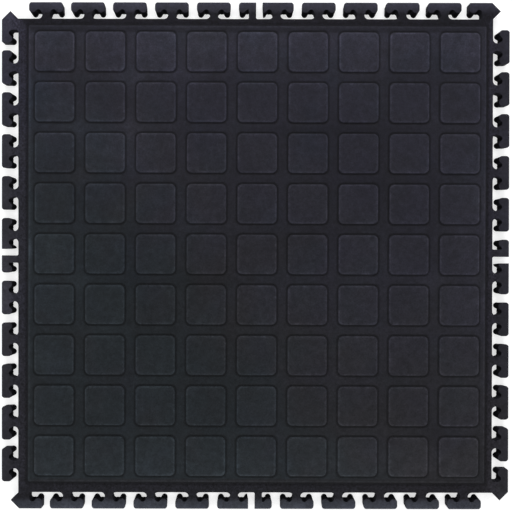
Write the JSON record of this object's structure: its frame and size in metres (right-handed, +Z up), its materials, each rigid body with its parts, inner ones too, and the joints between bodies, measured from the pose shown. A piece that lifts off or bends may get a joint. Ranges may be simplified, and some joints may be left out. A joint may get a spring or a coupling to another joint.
{
  "type": "modular floor tile",
  "caption": "Square black rubber floor tile with low square pads on a raised plateau and hooked interlock teeth on all four sides.",
  "frame": {"origin": "middle of the square body, on the floor under the tile", "axes": "+Z up out of the walking surface, +X to the right and +Y to the back, along the tile's sides"},
  "size_m": [0.945, 0.945, 0.019],
  "materials": {
    "rubber": "matt moulded black rubber"
  },
  "bodies": {
    "root": {"floor_tile": "rubber"}
  },
  "joints": []
}
